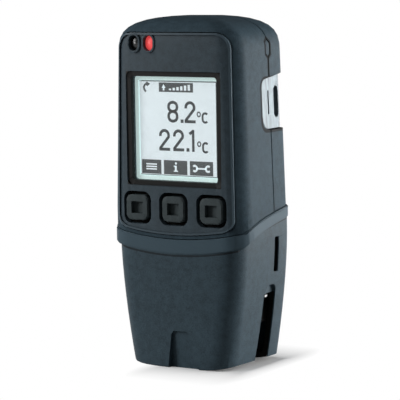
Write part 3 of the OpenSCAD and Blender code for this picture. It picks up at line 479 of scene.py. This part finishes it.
pane_glass = clear_pane("display_pane_glass", (0.90, 0.95, 0.95), 0.06)
frame_glow = glowing("pale_display_frame", (0.54, 0.69, 0.67), 0.72, 0.35)
screen_glow = glowing("pale_display_glass", (0.60, 0.67, 0.70), 0.74, 0.28, 0.03, 240)
guide_glow = glowing("milky_light_guide", (0.30, 0.32, 0.33), 0.02)
ink = moulded("display_ink", (0.080, 0.092, 0.100), 0.45, 4200, 0.05)
figure_ink = moulded("display_figure_ink", (0.030, 0.040, 0.048), 0.45, 4200, 0.05)
pale_ink = glowing("display_clear_mark", (0.62, 0.69, 0.72), 0.74, 0.3, 0.03)
lit_red = glowing("lit_red_lens", (0.80, 0.075, 0.075), 0.62, 0.5, 0.10, 900)
dark_lens = moulded("dark_lens", (0.010, 0.012, 0.013), 0.26, 900, 0.05, 0.5)
led_white = glowing("lamp_chip", (0.85, 0.82, 0.62), 0.05)
print("panes and lenses ready")

# %% Board, cells and label
WEAR, CONTRAST = 900, 14


def printed(name, colour, second, per_metre, rough=0.4):
    finish = Finish(name, {})
    pattern, wear = finish.noise(per_metre, 5), finish.noise(WEAR, 3)
    mask = ((pattern - 0.5) * CONTRAST + 0.5).held()
    return finish.wire(Base_Color=finish.blend(mask, colour, second),
                       Roughness=rough + (wear - 0.5) * 0.2,
                       Normal=finish.bump(mask + wear * 0.2, 0.3, 0.04 * MM)).material


solder_mask = printed("green_board", (0.012, 0.10, 0.045), (0.02, 0.16, 0.075), 420)
chip_body = moulded("chip_body", (0.02, 0.02, 0.022), 0.45, 3000)
cell_sleeve = printed("cell_sleeve", (0.06, 0.13, 0.22), (0.08, 0.17, 0.28), 60, 0.25)
disc_brass = drawn_metal("sounder_brass", (0.70, 0.54, 0.24), 0.3)
label_plate = printed("blank_label_plate", (0.46, 0.47, 0.48), (0.50, 0.51, 0.52), 300, 0.5)
tongue_white = moulded("white_insulator", (0.78, 0.78, 0.75), 0.45, 2400, 0.2)
print("inner finishes ready")

# %% [markdown]
# ## Dressing the measured parts
# A moulded or pressed edge is never knife sharp, and the eye knows it by the thin bright
# line along it. So every measured part but the small sensor gets a bevel on its sharp
# edges, and all get normals that keep the broad faces flat. The modifiers leave the
# measured mesh itself alone.

# %% Give every measured part its finish and soft edges
EDGE_ANGLE, EDGE_SEGMENTS = math.radians(32), 2


def soften(part, width):
    """Weld the faces together, round the sharp edges and keep flat faces flat."""
    mesh = part.data
    for face in mesh.polygons:
        face.use_smooth = True
    weld = part.modifiers.new("weld", "WELD")
    weld.merge_threshold = 0.004 * MM
    if width:
        bevel = part.modifiers.new("soft_edge", "BEVEL")
        bevel.width, bevel.segments = width * MM, EDGE_SEGMENTS
        bevel.limit_method, bevel.angle_limit = "ANGLE", EDGE_ANGLE
        bevel.use_clamp_overlap, bevel.harden_normals = True, False
        bevel.miter_outer = "MITER_ARC"
    normals = part.modifiers.new("flat_faces", "WEIGHTED_NORMAL")
    normals.keep_sharp, normals.weight = False, 80


def dress(finish, width, *names):
    for name in names:
        part = parts[name]
        part.data.materials.clear()
        part.data.materials.append(finish)
        soften(part, width)


dress(housing_plastic, 0.28, "front_shell", "rear_shell", "seam_plug", "battery_door")
dress(panel_plastic, 0.35, "front_panel")
dress(cap_plastic, 0.22, "cap")
dress(key_rubber, 0.45, "key_left", "key_middle", "key_right")
dress(black_rubber, 0.05, "seam_ring", "key_mat", "door_seal", "cap_grips")
dress(black_plastic, 0.2, "connector_block", "battery_tray")
dress(bracket_metal, 0.25, "strap_bracket_right", "strap_bracket_left")
dress(screw_steel, 0.06, "case_screws", "door_screws", "board_screws")
dress(plug_shell, 0.05, "usb_plug")
dress(contact_nickel, 0.05, "contact_springs", "contact_plates")
dress(gilt_socket, 0.08, "probe_socket")
dress(sensor_steel, 0, "air_sensor")
dress(pane_glass, 0.1, "window_pane")
dress(frame_glow, 0.1, "display_frame")
dress(screen_glow, 0.05, "display_panel")
dress(guide_glow, 0.1, "backlight")
dress(lit_red, 0.3, "lamp_right")
dress(dark_lens, 0.3, "lamp_left")
dress(led_white, 0.05, "led_chips")
dress(solder_mask, 0.05, "circuit_board")
dress(chip_body, 0.05, "board_chips", "key_switches")
dress(cell_sleeve, 0.2, "cell_left", "cell_right")
dress(disc_brass, 0.1, "sounder")
dress(label_plate, 0.05, "rear_label")
dress(tongue_white, 0.05, "usb_tongue")
print("undressed:", [n for n, p in parts.items() if not p.modifiers])

# %% [markdown]
# ## Marks on the display
# A liquid crystal display shows its marks as dark, flat shapes of even stroke. Each stroke
# here is a ribbon: a line of points widened to both sides, with mitred corners, and laid
# a fiftieth of a millimetre before the display's glass. Figures, bars and plain signs are
# drawn; words are left out.

# %% Ribbons and plates of ink
glass_low, glass_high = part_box("display_panel")
INK_Y = glass_low.y - 0.02 * MM


def flat_piece(name, outlines, finish, depth, body="housing"):
    """Flat shapes in the front view, all in one mesh: each outline is a loop of (x, z) mm."""
    mesh = bpy.data.meshes.new(name)
    bm = bmesh.new()
    for outline in outlines:
        bm.faces.new([bm.verts.new((x * MM, depth, z * MM)) for x, z in outline])
    bmesh.ops.recalc_face_normals(bm, faces=bm.faces)
    for face in bm.faces:
        if face.normal.y > 0:
            face.normal_flip()
    bm.to_mesh(mesh)
    bm.free()
    piece = bpy.data.objects.new(name, mesh)
    bpy.context.scene.collection.objects.link(piece)
    mesh.materials.append(finish)
    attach(piece, body)


def ribbon(points, width, closed=False):
    """Quads along a line of points, mitred at its corners."""
    count = len(points)
    sides = []
    for i, here in enumerate(points):
        before = points[i - 1] if closed or i else None
        after = points[(i + 1) % count] if closed or i < count - 1 else None
        dirs = [Vector(b) - Vector(a) for a, b in ((before, here), (here, after))
                if a is not None and b is not None]
        dirs = [d.normalized() for d in dirs]
        along = sum(dirs, Vector((0, 0))).normalized()
        across = Vector((-along.y, along.x))
        reach = width / 2 / max(0.35, across.dot(Vector((-dirs[0].y, dirs[0].x))))
        sides.append((Vector(here) + across * reach, Vector(here) - across * reach))
    last = count if closed else count - 1
    return [[tuple(sides[i][0]), tuple(sides[(i + 1) % count][0]),
             tuple(sides[(i + 1) % count][1]), tuple(sides[i][1])] for i in range(last)]


def arc(x, z, rx, rz, start, end, steps=10):
    """Points along a stretch of an ellipse, with its angles in degrees."""
    return [(x + rx * math.cos(math.radians(start + (end - start) * i / steps)),
             z + rz * math.sin(math.radians(start + (end - start) * i / steps)))
            for i in range(steps + 1)]


def plate(x0, x1, z0, z1):
    """Corners of an upright oblong."""
    return [(x0, z0), (x1, z0), (x1, z1), (x0, z1)]


print("display glass at y mm", round(glass_low.y / MM, 2))

# %% The two readings
def figure(sign, x, z, wide, high, stroke):
    """Ribbons of one figure whose lower left corner is (x, z)."""
    h = stroke / 2
    rx, top, foot = wide / 2 - h, z + high - h, z + h
    cx = x + wide / 2
    if sign == "8":
        waist, r = z + high * 0.51, rx * 0.8
        upper = arc(cx, top - r, rx, r, 0, 180) + arc(cx, waist + r, rx, r, 180, 360)
        lower = arc(cx, foot + r, rx, r, 180, 360) + arc(cx, waist - r, rx, r, 0, 180)
        return ribbon(upper, stroke, True) + ribbon(lower, stroke, True)
    if sign == "2":
        bow = arc(cx, top - rx, rx, rx, 190, -20, 14)
        return ribbon(bow + [(x + h, foot + high * 0.06), (x + h * 0.9, foot)], stroke) + [
            plate(x, x + wide, z, z + stroke)]
    if sign == "1":
        stem = cx + rx * 0.35
        return ribbon([(cx - rx * 0.55, top - high * 0.13), (stem, top)], stroke) + [
            plate(stem - h, stem + h, z, z + high)]
    if sign == ".":
        return [plate(x, x + stroke * 1.15, z, z + stroke * 1.15)]
    if sign == "o":
        return ribbon(arc(cx, z + high / 2, rx, high / 2 - h, 0, 324, 9), stroke, True)
    return ribbon(arc(cx, top - rx, rx, rx, 40, 180, 8)
                  + arc(cx, foot + rx, rx, rx, 180, 320, 8), stroke)


FOOT_1, FOOT_2, HIGH, WIDE, STROKE = 88.95, 78.68, 7.9, 4.65, 1.08
marks = []
for sign, x in (("8", -4.4), (".", 1.2), ("2", 2.9)):
    marks += figure(sign, x, FOOT_1, WIDE, HIGH, STROKE)
for sign, x in (("2", -8.15), ("2", -2.15), (".", 3.5), ("1", 3.45)):
    marks += figure(sign, x, FOOT_2, WIDE, HIGH, STROKE)
for foot in (FOOT_1, FOOT_2 - 0.4):
    marks += figure("o", 8.0, foot + 2.2, 1.8, 2.1, 0.46)
    marks += figure("C", 10.1, foot, 3.0, 4.1, 0.80)
flat_piece("display_figures", marks, figure_ink, INK_Y)
print(len(marks), "ribbon quads of figures")

# %% Header bar, soft keys and curved arrow, in dark ink
HEADER = (-7.9, 6.65, 99.95, 103.35)
SOFT_KEYS, KEY_ROW = ((-15.8, -7.4), (-6.3, 3.7), (4.8, 14.6)), (70.15, 75.30)
THIN_STROKE = 0.75
signs = [plate(*HEADER)] + [plate(*key, *KEY_ROW) for key in SOFT_KEYS]
arrow = [(-13.5, 99.9), (-14.2, 100.7), (-14.4, 101.6), (-13.9, 102.5)]
signs += ribbon(arrow, THIN_STROKE)
signs += [[(-14.2, 102.6), (-12.7, 101.9), (-11.7, 102.8), (-13.0, 103.6)]]
flat_piece("display_bars", signs, ink, INK_Y)
print(len(signs), "dark shapes beside the figures")

# %% Clear signs on the dark bars
up_arrow = [plate(-6.2, -5.5, 100.5, 101.7), [(-6.7, 101.4), (-5.0, 101.4), (-5.85, 102.8)]]
steps = [plate(-3.6 + 1.6 * i, -2.6 + 1.6 * i, 100.6, 101.2 + 0.30 * i) for i in range(6)]
lines = [plate(-13.9, -9.3, z, z + 0.5) for z in (71.6, 72.5, 73.4)]
information = [arc(-1.1, 74.2, 0.45, 0.45, 0, 324, 9), plate(-1.6, -0.8, 71.4, 73.4),
               plate(-2.1, -1.2, 73.0, 73.4), plate(-2.1, -0.2, 71.2, 71.6)]
spanner = [plate(7.7, 11.7, 72.4, 73.0)]
spanner += ribbon(arc(6.9, 72.7, 0.95, 1.0, 135, -135, 10), THIN_STROKE)
spanner += ribbon(arc(12.5, 72.7, 0.95, 1.0, 45, 315, 10), THIN_STROKE)
clear = up_arrow + steps + lines + information + spanner
flat_piece("display_clear_marks", clear, pale_ink, INK_Y - 0.02 * MM)
print(len(clear), "clear shapes")

# %% Dark line round the display's glass
edge_x, edge_low, edge_top = (v / MM for v in (glass_high.x, glass_low.z, glass_high.z))
corners = ((-edge_x, edge_low), (edge_x, edge_low), (edge_x, edge_top), (-edge_x, edge_top))
flat_piece("display_glass_edge", ribbon(corners, 0.3), ink, INK_Y)
print("glass edge at x mm", round(edge_x, 1))

# %% [markdown]
# ## The studio
# A pale floor runs out under the logger. Near the foot it takes light and shadow as a
# painted board does, and within three centimetres it turns to plain white, but only for
# rays that come from the camera, from a reflection or through glass, so no extra light
# falls on the logger. The photographed logger is brightest on its right side and on the
# bracket there, so three soft lamps stand to the right and behind it. One at the front
# left and one high up in front light its face, and a small one draws the left edge.

# %% The floor
FLOOR_SIZE = 40
SHADE_X, SHADE_HALF_W, SHADE_HALF_D = 10 * MM, 16 * MM, 16 * MM
SHADE_REACH, SHADE_CURVE, SIDE_TIMES, LEAST_WHITE = 24 * MM, 0.55, 3.0, 0.05

floor_finish = Finish("studio_floor", {"Roughness": 0.9, "Specular IOR Level": 0.1})
rays = floor_finish.add("ShaderNodeLightPath", {}, {})
seen = (rays.out("Is Camera Ray") + rays.out("Is Glossy Ray")
        + rays.out("Is Transmission Ray")).held()
speck = floor_finish.noise(300, 3)
board = floor_finish.blend(speck, (0.90, 0.90, 0.90), (0.93, 0.93, 0.93))
floor_finish.wire(Base_Color=floor_finish.blend(seen, (0.12, 0.12, 0.12), board))
x, y = floor_finish.axes()[:2]
aside = ((x - SHADE_X).size() - SHADE_HALF_W).largest(0.0) * SIDE_TIMES
ahead = (y.size() - SHADE_HALF_D).largest(0.0)
reach = diagonal(aside, ahead)
white = floor_finish.add("ShaderNodeEmission", {}, {"Color": (1.0, 1.0, 1.0), "Strength": 1.0})
far_share = (reach / SHADE_REACH).held() ** SHADE_CURVE * (1 - LEAST_WHITE) + LEAST_WHITE
shown = floor_finish.add("ShaderNodeMixShader", {}, {
    0: far_share * seen,
    1: Signal(floor_finish, floor_finish.shader.outputs[0]), 2: white})
floor_finish.feed(floor_finish.tree.nodes["Material Output"].inputs["Surface"], shown)
bpy.ops.mesh.primitive_plane_add(size=FLOOR_SIZE)
floor = bpy.context.object
floor.name = "studio_floor"
floor.data.materials.append(floor_finish.material)
print("floor of", len(floor_finish.tree.nodes), "nodes")

# %% The sky
SKY_LIGHT, SKY_SEEN = 0.10, 1.0
world = bpy.data.worlds.new("studio_world")
bpy.context.scene.world = world
world.use_nodes = True
sky = Nodes(world.node_tree)
camera_ray = sky.add("ShaderNodeLightPath", {}, {}).out("Is Camera Ray")
background = sky.tree.nodes["Background"]
sky.feed(background.inputs["Strength"], camera_ray * (SKY_SEEN - SKY_LIGHT) + SKY_LIGHT)
sky.feed(background.inputs["Color"], (1.0, 1.0, 1.0))
print("sky lights with", SKY_LIGHT, "and shows as", SKY_SEEN)

# %% The lamps
def lamp(name, place, size, watts):
    """A soft round lamp that is turned to the logger."""
    light = bpy.data.lights.new(name, "AREA")
    light.shape, light.size, light.energy = "DISK", size, watts
    lamp_object = bpy.data.objects.new(name, light)
    lamp_object.location = place
    aim = TARGET - Vector(place)
    lamp_object.rotation_euler = aim.to_track_quat("-Z", "Y").to_euler()
    bpy.context.scene.collection.objects.link(lamp_object)


lamp("front_left_softbox", (-0.50, -0.45, 0.28), 0.3, 2.6)
lamp("left_strip", (-0.24, -0.08, 0.16), 0.12, 0.02)
lamp("overhead_softbox", (-0.10, -0.40, 0.74), 0.3, 0.6)
lamp("right_softbox", (0.76, 0.50, 0.20), 0.3, 5.0)
lamp("rear_right_softbox", (0.28, 0.76, 0.22), 0.3, 2.2)
lamp("rear_right_low", (0.36, 0.48, 0.02), 0.2, 2.4)
bpy.context.scene.view_settings.view_transform = "Standard"
print(len(bpy.data.lights), "lamps")

# %% [markdown]
